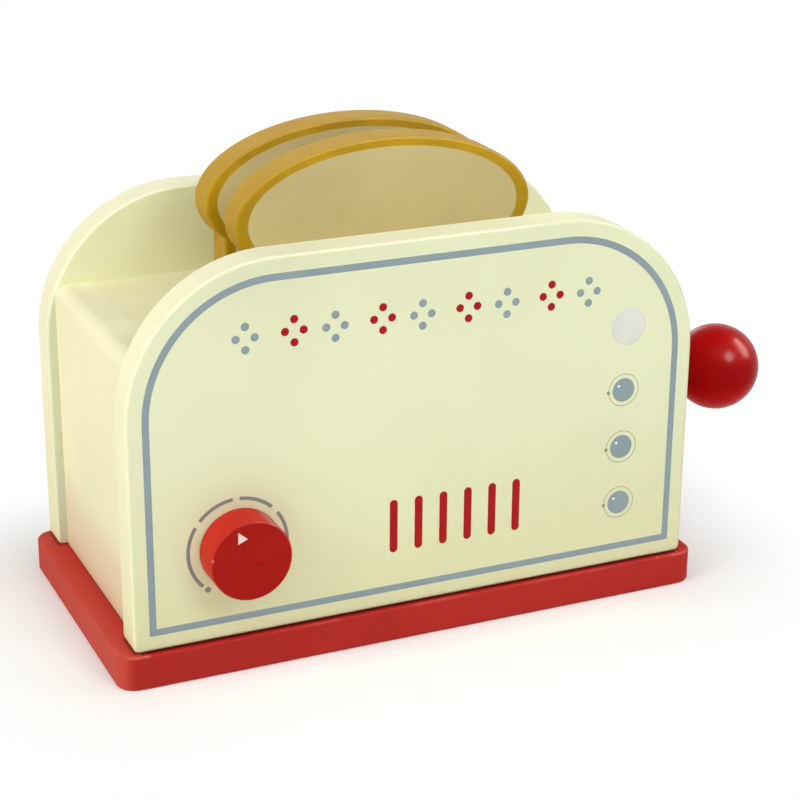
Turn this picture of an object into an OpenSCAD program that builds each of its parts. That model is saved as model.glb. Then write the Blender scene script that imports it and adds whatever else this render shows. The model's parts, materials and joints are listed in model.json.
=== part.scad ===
// Wooden play toaster: two toast slices stand on a sprung lift behind a painted front panel.
// Pressing the ball lever down lowers the slices, and the return springs lift them again.
// X runs along the toaster, Y from its front to its back and Z up, in millimetres.
// The origin is the middle of the base board's underside.

/* [Panels] */
// Width of the front and back panels
panel_w = 200; // [180:1:220]
// Height of the panels above the base board
panel_h = 126; // [118:1:140]
// Thickness of each panel
panel_t = 12; // [11:0.5:16]
// Radius of the panels' big upper corners
panel_top_r = 50; // [30:1:60]
// Radius of the panels' small lower corners
panel_foot_r = 2.2; // [2.1:0.1:8]
// Radius of the rounded-over edges of the panels
panel_edge_r = 1; // [0.5:0.1:2]

/* [Base board] */
// How far the base board shows past each end of the panels
base_side_lip = 5.3; // [3:0.1:12]
// How far the base board shows in front of the front panel
base_front_lip = 2.4; // [1.5:0.1:12]
// How far the base board shows behind the back panel
base_back_lip = 2.4; // [0:0.1:12]
// Thickness of the base board
base_t = 12; // [9:0.5:14]
// Radius of the base board's upright corners
base_corner_r = 6.5; // [4:0.5:12]
// Radius of the rounded-over edges of the base board
base_edge_r = 1; // [0.5:0.1:3]

/* [Body] */
// Distance between the two panels, which the body's boards fill
body_d = 77.5; // [74:0.5:100]
// Height of the body above the base board
body_h = 95.5; // [90:0.5:105]
// How far the panels stand out past each end of the body
panel_overhang = 3.5; // [2:0.5:10]
// Thickness of the two end boards
end_board_t = 12; // [11:0.5:16]
// Radius of the body's upper end corners
body_corner_r = 5; // [4:0.5:10.5]
// Thickness of the top board
top_board_t = 12; // [11:0.5:16]

/* [Toast] */
// Width of a slice across its domed crust
crust_w = 104.5; // [98:0.5:112]
// Height of the domed crust, an ellipse
crust_h = 50; // [46:1:58]
// Width of a slice below its crust
slice_w = 92; // [80:1:96]
// Whole height of a slice
slice_h = 103.5; // [97:0.5:110]
// Thickness of a slice
slice_t = 11.5; // [7:0.5:12]
// Radius of a slice's lower corners
slice_foot_r = 8; // [3:0.5:14]
// Radius of the rounded-over edges of a slice
slice_edge_r = 1; // [0.5:0.1:1.5]
// Distance between the middles of the two slices
slice_pitch = 29; // [27:0.5:34]
// Gap between a slice's face and the side of its slot
slot_side_gap = 1.5; // [1:0.25:2.5]
// Gap between the crust and the end of its slot
slot_end_gap = 3; // [1.5:0.25:4]
// Width of the bevel round the mouth of each slot
slot_bevel = 1; // [0.5:0.25:1.5]

/* [Lift] */
// Height of the lever rod above the base board when the lever is up
lever_up_z = 46; // [42:0.5:50]
// How far the lever presses down
lever_travel = 30; // [24:1:31]
// Thickness of the lift bar that carries the slices
lift_t = 12; // [11:0.5:14]
// Wood left in front of, behind and past the grooves of the lift bar
lift_wall = 4; // [3:0.5:6]
// Gap between each end of the lift bar and the end board
lift_end_gap = 3; // [2:0.5:6]
// Depth of the grooves that hold the slices
groove_depth = 4; // [3:0.5:5]
// Gap on each side of a slice in its groove
groove_gap = 0.5; // [0.3:0.1:1]
// Radius of the bevel along the lift bar's upper edges
lift_bevel = 1; // [0.5:0.25:1.5]
// Diameter of the lever rod
rod_d = 8; // [7:0.5:9]
// Gap round the rod in the end board's upright slot
rod_slot_gap = 0.5; // [0.4:0.1:1]
// Distance from the end board's face to the middle of the ball
lever_reach = 47; // [40:1:56]
// Diameter of the ball on the lever
ball_d = 32; // [30:0.5:38]
// Depth of the rod's hole in the ball
ball_hole_depth = 18; // [14:0.5:20]

/* [Guides and springs] */
// Distance of each guide post from the middle
post_x = 45; // [38:1:50]
// Diameter of the guide posts
post_d = 8; // [7:0.5:9]
// Depth to which the guide posts are glued in
post_seat = 6; // [4:0.5:7]
// Gap round a guide post in the lift bar
guide_gap = 0.5; // [0.3:0.1:1]
// Diameter of the spring wire
wire_d = 1.2; // [1:0.1:1.3]
// Gap between a guide post and the spring round it
spring_gap = 0.9; // [0.5:0.1:1.5]
// Turns of each return spring
spring_turns = 6; // [5:1:7]

/* [Dial] */
// Diameter of the dial
dial_d = 27; // [24:0.5:32]
// Thickness of the dial
dial_t = 11.6; // [9:0.1:14]
// Radius of the dial's rounded front edge
dial_edge_r = 0.8; // [0.4:0.1:2]
// Distance of the dial's middle from the panels' left end
dial_x = 36; // [28:0.5:45]
// Height of the dial's middle above the base board
dial_z = 31.2; // [29:0.1:40]
// Gap behind the dial, and between its washer and the panel
turning_gap = 0.4; // [0.3:0.1:0.8]
// Diameter of the dial's axle screw
axle_d = 4; // [3.5:0.5:5]
// Running gap round the axle screw in the front panel
axle_gap = 0.08; // [0.02:0.01:0.1]
// Depth of the axle screw in the dial
axle_seat = 8; // [6:0.5:8.5]
// Diameter of the axle screw's head
axle_head_d = 9; // [7.5:0.5:10]
// Height of the axle screw's head
axle_head_h = 3; // [2:0.5:4]
// Diameter of the washer under the axle screw's head
washer_d = 14; // [12:0.5:18]
// Thickness of the washer
washer_t = 1; // [0.8:0.1:1.6]

/* [Dowels and screws] */
// Diameter of the glued dowels
dowel_d = 6; // [5:0.5:7]
// Depth of a dowel in the face of a board
dowel_face_depth = 6; // [4:0.5:7]
// Depth of a dowel in the end grain or edge of a board
dowel_edge_depth = 14; // [10:1:16]
// Height of the lower and upper panel dowels above the base board
dowel_low_z = 25; // [23:1:35]
// Distance of the upper panel dowels below the body's top
dowel_drop = 25; // [20:1:30]
// Distance of the top board's dowels from the body's middle
top_dowel_y = 25; // [20:1:30]
// Diameter of the shanks of the wood screws
screw_d = 3.5; // [3:0.25:4]
// Diameter of the countersunk screw heads
screw_head_d = 7; // [6:0.25:8]
// Length of the base screws
screw_l = 28; // [24:1:29]
// How far the screw heads lie below the underside
screw_sink = 0.5; // [0.3:0.1:1]
// Distance of the end boards' screws from the body's middle
end_screw_y = 17; // [12:1:18]
// Distance of the panels' screws from the middle
panel_screw_x = 48; // [35:1:55]
// Length of the screw that holds the lever rod
rod_screw_l = 8.5; // [8:0.5:9]
// Glue gap round dowels, posts, rods and screws in their holes
glue_gap = 0.05; // [0.02:0.01:0.08]

/* [Hidden] */
$fn = 64;
// A cut starts and ends this far outside the wood
over = 1;

// Colours of the paint, the bare wood and the metal
cream = "#f3f0cf";
red = "#b32a2a";
bare_wood = "#dcc08c";
toast_brown = "#d2a548";
steel = "#b9bcc0";

// The base board shows all round the panels that stand on it
base_w = panel_w + 2*base_side_lip;
base_d = base_front_lip + 2*panel_t + body_d + base_back_lip;
// Front faces of the two panels
front_y = -base_d/2 + base_front_lip;
back_y = front_y + panel_t + body_d;
// Faces and middle of the body between the panels
body_y0 = front_y + panel_t;
body_y1 = back_y;
mid_y = (body_y0 + body_y1)/2;
body_w = panel_w - 2*panel_overhang;
inner_w = body_w - 2*end_board_t;
body_top = base_t + body_h;
top_under = body_top - top_board_t;
end_mid_x = (body_w - end_board_t)/2;

// The lift bar at rest, with the lever up
rod_z = base_t + lever_up_z;
lift_z0 = rod_z - lift_t/2;
lift_z1 = lift_z0 + lift_t;
lift_w = inner_w - 2*lift_end_gap;
lift_d = slice_pitch + slice_t + 2*groove_gap + 2*lift_wall;
groove_w = slice_t + 2*groove_gap;
slice_z0 = lift_z1 - groove_depth;
slice_top = slice_z0 + slice_h;
slice_ys = [mid_y - slice_pitch/2, mid_y + slice_pitch/2];
slot_t = slice_t + 2*slot_side_gap;
slot_w = crust_w + 2*slot_end_gap;

// Holes, posts and springs
guide_r = post_d/2 + guide_gap;
spring_r = post_d/2 + spring_gap + wire_d/2;
rod_end_wall = 2.5;
rod_x0 = post_x + guide_r + rod_end_wall;
ball_x = body_w/2 + lever_reach;
rod_x1 = ball_x - ball_d/2 + ball_hole_depth;
rod_screw_x = (rod_x0 + lift_w/2)/2;
dial_mid_x = dial_x - panel_w/2;
dial_mid_z = base_t + dial_z;
dial_front_y = front_y - turning_gap - dial_t;
screw_head_h = (screw_head_d - screw_d)/2;
screw_tip = screw_d;
recess_w = 0.9;
recess_l = 4;
recess_depth = 1.2;

// Places of the repeated fasteners
panel_dowel_spots = [for (x = [-end_mid_x, end_mid_x], z = [base_t + dowel_low_z, body_top - dowel_drop]) [x, z]];
top_dowel_ys = [mid_y - top_dowel_y, mid_y + top_dowel_y];
base_screw_spots = concat(
    [for (x = [-end_mid_x, end_mid_x], y = [mid_y - end_screw_y, mid_y + end_screw_y]) [x, y]],
    [for (x = [-panel_screw_x, panel_screw_x], y = [front_y + panel_t/2, back_y + panel_t/2]) [x, y]]
);

// Spring wire: a few rings to each turn, and six sides
rings_per_turn = 8;
wire_sides = 6;
// A wire's end stands up straight for one diameter, square to the board it meets
spring_rise = lift_z0 - base_t - 2*wire_d;
spring_path = concat(
    [[spring_r, 0, 0]],
    [for (i = [0:spring_turns*rings_per_turn])
        let (turn = i/rings_per_turn)
        [spring_r*cos(360*turn), spring_r*sin(360*turn), wire_d + spring_rise*turn/spring_turns]],
    [[spring_r, 0, spring_rise + 2*wire_d]]
);
spring_gaps = [for (i = [0:len(spring_path) - 1], j = [i + rings_per_turn/2:len(spring_path) - 1])
    if (j < len(spring_path)) norm(spring_path[j] - spring_path[i]) - wire_d];
echo(spring_least_gap = min(spring_gaps));

// ---- Shapes that repeat ----

// Cross-section of a board with rounded-over edges at its outer end
module edge_profile(reach, t, r) {
    square([reach - r, t]);
    translate([0, r]) square([reach, t - 2*r]);
    for (y = [r, t - r]) translate([reach - r, y]) circle(r);
}

// Bar with the edge profile on both of its long sides, lying along Y
module edged_bar(w, l, t, r) {
    translate([0, l, 0]) rotate([90, 0, 0]) linear_extrude(l) {
        edge_profile(w/2, t, r);
        mirror([1, 0]) edge_profile(w/2, t, r);
    }
}

// Filler between two corners, with the edge profile on its outer side only
module edged_side(w, l, t, r) {
    rotate([90, 0, 90]) translate([0, 0, -w/2]) linear_extrude(w) edge_profile(l, t, r);
}

// Flat board standing on its lower side, with rounded corners and rounded-over edges
module rounded_board(w, h, t, low_r, high_r, r) {
    translate([0, low_r, 0]) edged_bar(w, h - low_r - high_r, t, r);
    translate([0, h - high_r, 0]) edged_side(w - 2*high_r, high_r, t, r);
    translate([0, low_r, 0]) mirror([0, 1, 0]) edged_side(w - 2*low_r, low_r, t, r);
    for (side = [0, 1]) mirror([side, 0, 0]) {
        translate([w/2 - high_r, h - high_r, 0]) rotate_extrude(angle = 90) edge_profile(high_r, t, r);
        translate([w/2 - low_r, low_r, 0]) rotate([0, 0, -90])
            rotate_extrude(angle = 90) edge_profile(low_r, t, r);
    }
}

// One panel, standing on the base board with its front face at y
module panel(y) {
    translate([0, y + panel_t, base_t]) rotate([90, 0, 0])
        rounded_board(panel_w, panel_h, panel_t, panel_foot_r, panel_top_r, panel_edge_r);
}

// Rods along each axis, starting at a point
module rod_x(r, l) rotate([0, 90, 0]) cylinder(r = r, h = l);
module rod_y(r, l) rotate([-90, 0, 0]) cylinder(r = r, h = l);

// Round-ended slot cut through a board, along X, with its mouth bevelled at the top
module slot_cut(w, t, depth, bevel) {
    flat = w - t;
    translate([-flat/2, -t/2, -depth - over]) cube([flat, t, depth + 2*over]);
    rotate([90, 0, 90]) translate([0, 0, -flat/2]) linear_extrude(flat)
        polygon([[-t/2, -bevel], [t/2, -bevel], [t/2 + bevel + over, over], [-t/2 - bevel - over, over]]);
    for (x = [-flat/2, flat/2]) translate([x, 0, 0]) {
        translate([0, 0, -depth - over]) cylinder(r = t/2, h = depth + 2*over);
        translate([0, 0, -bevel]) cylinder(r1 = t/2, r2 = t/2 + bevel + over, h = bevel + over);
    }
}

// Countersunk wood screw standing point up, with a cross recess in its head
module wood_screw(l) {
    difference() {
        union() {
            cylinder(r1 = screw_head_d/2, r2 = screw_d/2, h = screw_head_h);
            translate([0, 0, screw_head_h]) cylinder(r = screw_d/2, h = l - screw_head_h - screw_tip);
            translate([0, 0, l - screw_tip]) cylinder(r1 = screw_d/2, r2 = screw_d/8, h = screw_tip);
        }
        for (a = [0, 90]) rotate([0, 0, a])
            translate([-recess_l/2, -recess_w/2, -over]) cube([recess_l, recess_w, over + recess_depth]);
    }
}

// Hole for that screw, open at the board's face
module screw_hole(l) {
    translate([0, 0, -over]) cylinder(r = screw_head_d/2, h = over);
    cylinder(r1 = screw_head_d/2, r2 = screw_d/2, h = screw_head_h);
    cylinder(r = screw_d/2 + glue_gap, h = l);
}

module base_screw_holes() {
    for (p = base_screw_spots) translate([p[0], p[1], screw_sink]) screw_hole(screw_l);
}

// Dowel holes that cross from a panel at y into the ends of the body's boards
module panel_dowel_cuts(y, l) {
    for (p = panel_dowel_spots) translate([p[0], y, p[1]]) rod_y(dowel_d/2 + glue_gap, l);
}
module front_dowel_cuts() panel_dowel_cuts(body_y0 - dowel_face_depth, dowel_face_depth + dowel_edge_depth);
module back_dowel_cuts() panel_dowel_cuts(body_y1 - dowel_edge_depth, dowel_face_depth + dowel_edge_depth);
module panel_dowel_rods(y) {
    for (p = panel_dowel_spots) translate([p[0], y, p[1]]) rod_y(dowel_d/2, dowel_face_depth + dowel_edge_depth);
}

// The top board's dowels run along X, from inside each end board
module top_dowel_runs(r) {
    for (side = [0, 1], y = top_dowel_ys) mirror([side, 0, 0])
        translate([inner_w/2 - dowel_edge_depth, y, body_top - top_board_t/2])
            rod_x(r, dowel_edge_depth + dowel_face_depth);
}

// Guide posts, from inside the base board to inside the top board
module post_shape(side, r) {
    translate([side*post_x, mid_y, base_t - post_seat]) cylinder(r = r, h = top_under - base_t + 2*post_seat);
}

// ---- Body ----

module base_board() {
    color(red) difference() {
        translate([0, -base_d/2, 0])
            rounded_board(base_w, base_d, base_t, base_corner_r, base_corner_r, base_edge_r);
        base_screw_holes();
        for (side = [-1, 1]) post_shape(side, post_d/2 + glue_gap);
    }
}

module front_panel() {
    color(cream) difference() {
        panel(front_y);
        front_dowel_cuts();
        base_screw_holes();
        translate([dial_mid_x, front_y - over, dial_mid_z]) rod_y(axle_d/2 + axle_gap, panel_t + 2*over);
    }
}

module back_panel() {
    color(cream) difference() {
        panel(back_y);
        back_dowel_cuts();
        base_screw_holes();
    }
}

// End board with its rounded upper corner on the outside, on the right-hand end
module end_board_blank() {
    translate([0, body_y1, 0]) rotate([90, 0, 0]) linear_extrude(body_d) {
        translate([inner_w/2, base_t]) square([end_board_t, body_h - body_corner_r]);
        translate([inner_w/2, base_t]) square([end_board_t - body_corner_r, body_h]);
        intersection() {
            translate([body_w/2 - body_corner_r, body_top - body_corner_r]) circle(body_corner_r);
            translate([inner_w/2, base_t]) square([end_board_t, body_h]);
        }
    }
}

module end_board_joints() {
    front_dowel_cuts();
    back_dowel_cuts();
    top_dowel_runs(dowel_d/2 + glue_gap);
    base_screw_holes();
}

module left_end_board() {
    color(cream) difference() {
        mirror([1, 0, 0]) end_board_blank();
        end_board_joints();
    }
}

// The upright slot lets the lever rod travel
module right_end_board() {
    slot_r = rod_d/2 + rod_slot_gap;
    color(cream) difference() {
        end_board_blank();
        end_board_joints();
        for (z = [rod_z - lever_travel, rod_z])
            translate([inner_w/2 - over, mid_y, z]) rod_x(slot_r, end_board_t + 2*over);
        translate([inner_w/2 - over, mid_y - slot_r, rod_z - lever_travel])
            cube([end_board_t + 2*over, 2*slot_r, lever_travel]);
    }
}

module top_board() {
    color(cream) difference() {
        translate([-inner_w/2, body_y0, top_under]) cube([inner_w, body_d, top_board_t]);
        for (y = slice_ys) translate([0, y, body_top]) slot_cut(slot_w, slot_t, top_board_t, slot_bevel);
        top_dowel_runs(dowel_d/2 + glue_gap);
        for (side = [-1, 1]) post_shape(side, post_d/2 + glue_gap);
    }
}

module guide_post_left() color(bare_wood) post_shape(-1, post_d/2);
module guide_post_right() color(bare_wood) post_shape(1, post_d/2);

// Helical compression spring: one unbroken wire swept along its path
module return_spring(side) {
    rings = [for (i = [0:len(spring_path) - 1])
        let (
            here = spring_path[i],
            ahead = spring_path[min(i + 1, len(spring_path) - 1)],
            behind = spring_path[max(i - 1, 0)],
            run = (ahead - behind)/norm(ahead - behind),
            out = [here[0], here[1], 0]/spring_r,
            across = cross(run, out)
        )
        [for (k = [0:wire_sides - 1])
            let (a = 360*k/wire_sides)
            here + wire_d/2*(cos(a)*out + sin(a)*across)]];
    last = (len(rings) - 1)*wire_sides;
    walls = [for (i = [0:len(rings) - 2], k = [0:wire_sides - 1])
        let (a = i*wire_sides + k, b = i*wire_sides + (k + 1)%wire_sides)
        each [[a, b, a + wire_sides], [b, b + wire_sides, a + wire_sides]]];
    caps = [for (k = [1:wire_sides - 2])
        each [[0, k + 1, k], [last, last + k, last + k + 1]]];
    color(steel) translate([side*post_x, mid_y, base_t])
        polyhedron(points = [for (ring = rings, point = ring) point], faces = concat(walls, caps));
}
module return_spring_left() return_spring(-1);
module return_spring_right() return_spring(1);

module front_panel_dowels() color(bare_wood) panel_dowel_rods(body_y0 - dowel_face_depth);
module back_panel_dowels() color(bare_wood) panel_dowel_rods(body_y1 - dowel_edge_depth);
module top_board_dowels() color(bare_wood) top_dowel_runs(dowel_d/2);
module base_screws() color(steel) for (p = base_screw_spots) translate([p[0], p[1], screw_sink]) wood_screw(screw_l);

// ---- Lift and lever ----

// Bar that runs on the guide posts, with a groove for each slice
module lift_bar() {
    color(bare_wood) difference() {
        translate([-lift_w/2, mid_y, lift_z0]) rotate([90, 0, 90]) linear_extrude(lift_w)
            polygon([
                [-lift_d/2, 0], [lift_d/2, 0], [lift_d/2, lift_t - lift_bevel], [lift_d/2 - lift_bevel, lift_t],
                [-lift_d/2 + lift_bevel, lift_t], [-lift_d/2, lift_t - lift_bevel]
            ]);
        for (y = slice_ys)
            translate([-lift_w/2 - over, y - groove_w/2, slice_z0]) cube([lift_w + 2*over, groove_w, groove_depth + over]);
        for (x = [-post_x, post_x])
            translate([x, mid_y, lift_z0 - over]) cylinder(r = guide_r, h = lift_t + 2*over);
        translate([rod_x0, mid_y, rod_z]) rod_x(rod_d/2 + glue_gap, lift_w);
        translate([rod_screw_x, mid_y, lift_z0 + screw_sink]) screw_hole(rod_screw_l);
    }
}

module lever_rod() {
    color(bare_wood) difference() {
        translate([rod_x0, mid_y, rod_z]) rod_x(rod_d/2, rod_x1 - rod_x0);
        translate([rod_screw_x, mid_y, lift_z0 + screw_sink]) screw_hole(rod_screw_l);
    }
}

// Turned ball with a blind hole that takes the rod's end
module lever_ball() {
    color(red) translate([ball_x, mid_y, rod_z]) rotate([0, 90, 0]) rotate_extrude() difference() {
        circle(d = ball_d);
        translate([-ball_d, -ball_d]) square([ball_d, 2*ball_d]);
        translate([-over, -ball_d/2 - over])
            square([rod_d/2 + glue_gap + over, ball_hole_depth + over]);
    }
}

module rod_screw() color(steel) translate([rod_screw_x, mid_y, lift_z0 + screw_sink]) wood_screw(rod_screw_l);

// ---- Dial ----

// Turned from the front: a disc with a rounded front edge and a blind hole for its axle screw
module dial_knob() {
    color(red) translate([dial_mid_x, dial_front_y, dial_mid_z]) rotate([-90, 0, 0]) difference() {
        rotate_extrude() {
            square([dial_d/2 - dial_edge_r, dial_t]);
            translate([0, dial_edge_r]) square([dial_d/2, dial_t - dial_edge_r]);
            translate([dial_d/2 - dial_edge_r, dial_edge_r]) circle(dial_edge_r);
        }
        translate([0, 0, dial_t - axle_seat]) cylinder(r = axle_d/2 + glue_gap, h = axle_seat + over);
    }
}

// Behind the panel: the washer, then the screw's head
module dial_washer() {
    color(steel) translate([dial_mid_x, body_y0 + turning_gap, dial_mid_z]) difference() {
        rod_y(washer_d/2, washer_t);
        translate([0, -over, 0]) rod_y(axle_d/2 + glue_gap, washer_t + 2*over);
    }
}

module dial_axle_screw() {
    head_y = body_y0 + turning_gap + washer_t;
    shank_y = dial_front_y + dial_t - axle_seat;
    color(steel) translate([dial_mid_x, 0, dial_mid_z]) difference() {
        union() {
            translate([0, shank_y, 0]) rod_y(axle_d/2, head_y - shank_y);
            translate([0, head_y, 0]) rod_y(axle_head_d/2, axle_head_h);
        }
        for (a = [0, 90]) rotate([0, a, 0])
            translate([-recess_l/2, head_y + axle_head_h - recess_depth, -recess_w/2])
                cube([recess_l, recess_depth + over, recess_w]);
    }
}

// ---- Toast ----

// Steps of the rounded-over edges, front to back: how far the outline draws in, and how deep it lies
edge_turns = [0, 45, 90];
soft_steps = concat(
    [for (a = edge_turns) [slice_edge_r*(1 - sin(a)), slice_edge_r*(1 - cos(a))]],
    [for (i = [len(edge_turns) - 1:-1:0])
        let (a = edge_turns[i]) [slice_edge_r*(1 - sin(a)), slice_t - slice_edge_r*(1 - cos(a))]]
);
crust_steps = 112;
foot_steps = 8;

// Outline of a slice, drawn in by an inset: over the crust, then down and round its foot
function slice_outline(inset) =
    let (
        crust_rx = crust_w/2 - inset,
        crust_rz = crust_h/2 - inset,
        crust_z = slice_h - crust_h/2,
        neck = acos((slice_w/2 - inset)/crust_rx),
        foot_r = slice_foot_r - inset,
        foot_x = slice_w/2 - slice_foot_r
    )
    concat(
        [for (i = [0:crust_steps])
            let (a = -neck + i*(180 + 2*neck)/crust_steps) [crust_rx*cos(a), crust_z + crust_rz*sin(a)]],
        [for (i = [0:foot_steps])
            let (a = 180 + 90*i/foot_steps) [-foot_x + foot_r*cos(a), slice_foot_r + foot_r*sin(a)]],
        [for (i = [0:foot_steps])
            let (a = 270 + 90*i/foot_steps) [foot_x + foot_r*cos(a), slice_foot_r + foot_r*sin(a)]]
    );

// One slice, standing in its groove with its middle at y
module toast(y) {
    outlines = [for (s = soft_steps) slice_outline(s[0])];
    n = len(outlines[0]);
    last = (len(outlines) - 1)*n;
    middle = slice_h - crust_h/2;
    points = concat(
        [for (i = [0:len(outlines) - 1], p = outlines[i]) [p[0], soft_steps[i][1], p[1]]],
        [[0, 0, middle], [0, slice_t, middle]]
    );
    walls = [for (i = [0:len(outlines) - 2], k = [0:n - 1])
        let (a = i*n + k, b = i*n + (k + 1)%n) each [[a, b, b + n], [a, b + n, a + n]]];
    caps = [for (k = [0:n - 1])
        let (b = (k + 1)%n) each [[last + n, b, k], [last + n + 1, last + k, last + b]]];
    color(toast_brown) translate([0, y - slice_t/2, slice_z0])
        polyhedron(points = points, faces = concat(walls, caps));
}
module toast_front() toast(slice_ys[0]);
module toast_back() toast(slice_ys[1]);

base_board();
front_panel();
back_panel();
left_end_board();
right_end_board();
top_board();
guide_post_left();
guide_post_right();
return_spring_left();
return_spring_right();
front_panel_dowels();
back_panel_dowels();
top_board_dowels();
base_screws();
lift_bar();
lever_rod();
lever_ball();
rod_screw();
dial_knob();
dial_axle_screw();
dial_washer();
toast_front();
toast_back();
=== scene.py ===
"""Finishes the wooden play toaster: paint, prints, springs, studio floor, lamps and camera.

The fixed frame holds the boards, the lift, the dial and the slices. This file paints them and adds
what the frame leaves out: the prints on the front, the blank round sticker and the spring wire.
"""

import json
import math

import bmesh
import bpy
from bpy.props import FloatProperty, FloatVectorProperty, IntProperty, PointerProperty
from bpy.types import Operator, Panel, PropertyGroup
from mathutils import Euler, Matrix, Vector


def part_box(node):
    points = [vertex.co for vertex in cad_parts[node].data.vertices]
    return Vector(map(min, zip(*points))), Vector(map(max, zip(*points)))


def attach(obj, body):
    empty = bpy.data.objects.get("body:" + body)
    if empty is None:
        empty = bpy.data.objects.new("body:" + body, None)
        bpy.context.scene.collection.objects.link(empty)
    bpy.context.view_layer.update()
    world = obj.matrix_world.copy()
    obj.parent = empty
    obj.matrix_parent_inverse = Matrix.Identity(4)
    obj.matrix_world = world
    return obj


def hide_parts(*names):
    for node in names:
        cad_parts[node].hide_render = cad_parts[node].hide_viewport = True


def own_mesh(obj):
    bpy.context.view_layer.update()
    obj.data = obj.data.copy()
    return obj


bl_info = {
    "name": "Wooden play toaster",
    "version": (1, 0, 0),
    "blender": (4, 5, 0),
    "location": "View3D > Sidebar > Toaster",
    "description": "Paints a wooden play toaster and sets it on a pale studio floor",
    "category": "Object",
}

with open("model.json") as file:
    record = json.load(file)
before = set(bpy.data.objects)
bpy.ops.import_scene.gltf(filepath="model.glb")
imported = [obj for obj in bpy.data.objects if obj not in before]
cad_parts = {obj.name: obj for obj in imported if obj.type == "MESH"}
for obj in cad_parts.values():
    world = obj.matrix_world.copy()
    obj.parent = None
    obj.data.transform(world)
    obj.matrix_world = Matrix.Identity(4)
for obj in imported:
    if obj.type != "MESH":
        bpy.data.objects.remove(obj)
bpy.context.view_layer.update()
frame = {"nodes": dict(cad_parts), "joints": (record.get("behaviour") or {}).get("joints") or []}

MM = 0.001
# The lower and the upper corner of the boxes round the boards, the dial and a slice
PANEL_LOW, PANEL_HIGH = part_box("front_panel")
DIAL_LOW, DIAL_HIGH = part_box("dial_knob")
SLICE_LOW, SLICE_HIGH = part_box("toast_front")
BASE_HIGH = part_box("base_board")[1]
END_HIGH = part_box("right_end_board")[1]
BALL_Z = sum(corner.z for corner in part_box("lever_ball")) / 2
DIAL_X = (DIAL_LOW.x + DIAL_HIGH.x) / 2
DIAL_Z = (DIAL_LOW.z + DIAL_HIGH.z) / 2

# Places on the front panel in millimetres, across from its middle and up from the base board.
# Of each row of dot groups: how many groups, the first one's place and the ink
DOT_ROWS = {
    "dots_blue": (5, (-60.7, 100.85), "print_blue"),
    "dots_red": (4, (-44.5, 101.25), "print_red"),
}
FIRST_BAR, BAR_FOOT, BAR_TOP = -10.4, 19.4, 38.2
BUTTONS = ((74.25, 64.2), (74.25, 43.55), (74.25, 22.9))
STICKER_PLACE = (75.1, 86.8)

# The dial's scale in degrees from +X towards +Z: where each arc starts and ends, and the end dots
SCALE_ARCS = ((-41, 36), (46, 87), (95, 139), (147, 224))
SCALE_DOTS = (-48.4, 231.4)

# Lens in millimetres, place in metres and turn in degrees that give the photograph's view
CAMERA_LENS = 93.983
CAMERA_PLACE = (-0.26492, -0.62234, 0.32441)
CAMERA_TURN = (69.07677, -0.39877, -24.01348)
# What the lamps point at
LAMP_TARGET = Vector((0, 0, 0.07))


def paint(red, green, blue):
    """Linear colour of a paint chart's red, green and blue from 0 to 255."""
    shares = [value / 255 for value in (red, green, blue)]
    return tuple(
        share / 12.92 if share <= 0.04045 else ((share + 0.055) / 1.055) ** 2.4
        for share in shares
    )


def tinted(colour, *shares, added=0):
    """The colour with its red, green and blue multiplied by one share, or by one each."""
    shares = shares * 3 if len(shares) == 1 else shares
    return tuple(min(1, share * c + added) for share, c in zip(shares, colour))


def blend(first, second, share):
    """The first colour with a share of the second in it."""
    return tuple((1 - share) * a + share * b for a, b in zip(first, second))


def on_panel(across, up):
    """The x and z of a place given in millimetres from the panel's middle and the base board."""
    return across * MM, BASE_HIGH.z + up * MM


# ---------------------------------------------------------------- settings


def colour_setting(name, description, red, green, blue):
    return FloatVectorProperty(
        name=name,
        description=description,
        subtype="COLOR",
        size=3,
        min=0,
        max=1,
        default=paint(red, green, blue),
    )


def length_setting(name, description, millimetres):
    return FloatProperty(
        name=name,
        description=description,
        unit="LENGTH",
        subtype="DISTANCE",
        min=0,
        default=millimetres * MM,
    )


def power_setting(name, description, watts):
    return FloatProperty(name=name, description=description, unit="POWER", min=0, default=watts)


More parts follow.
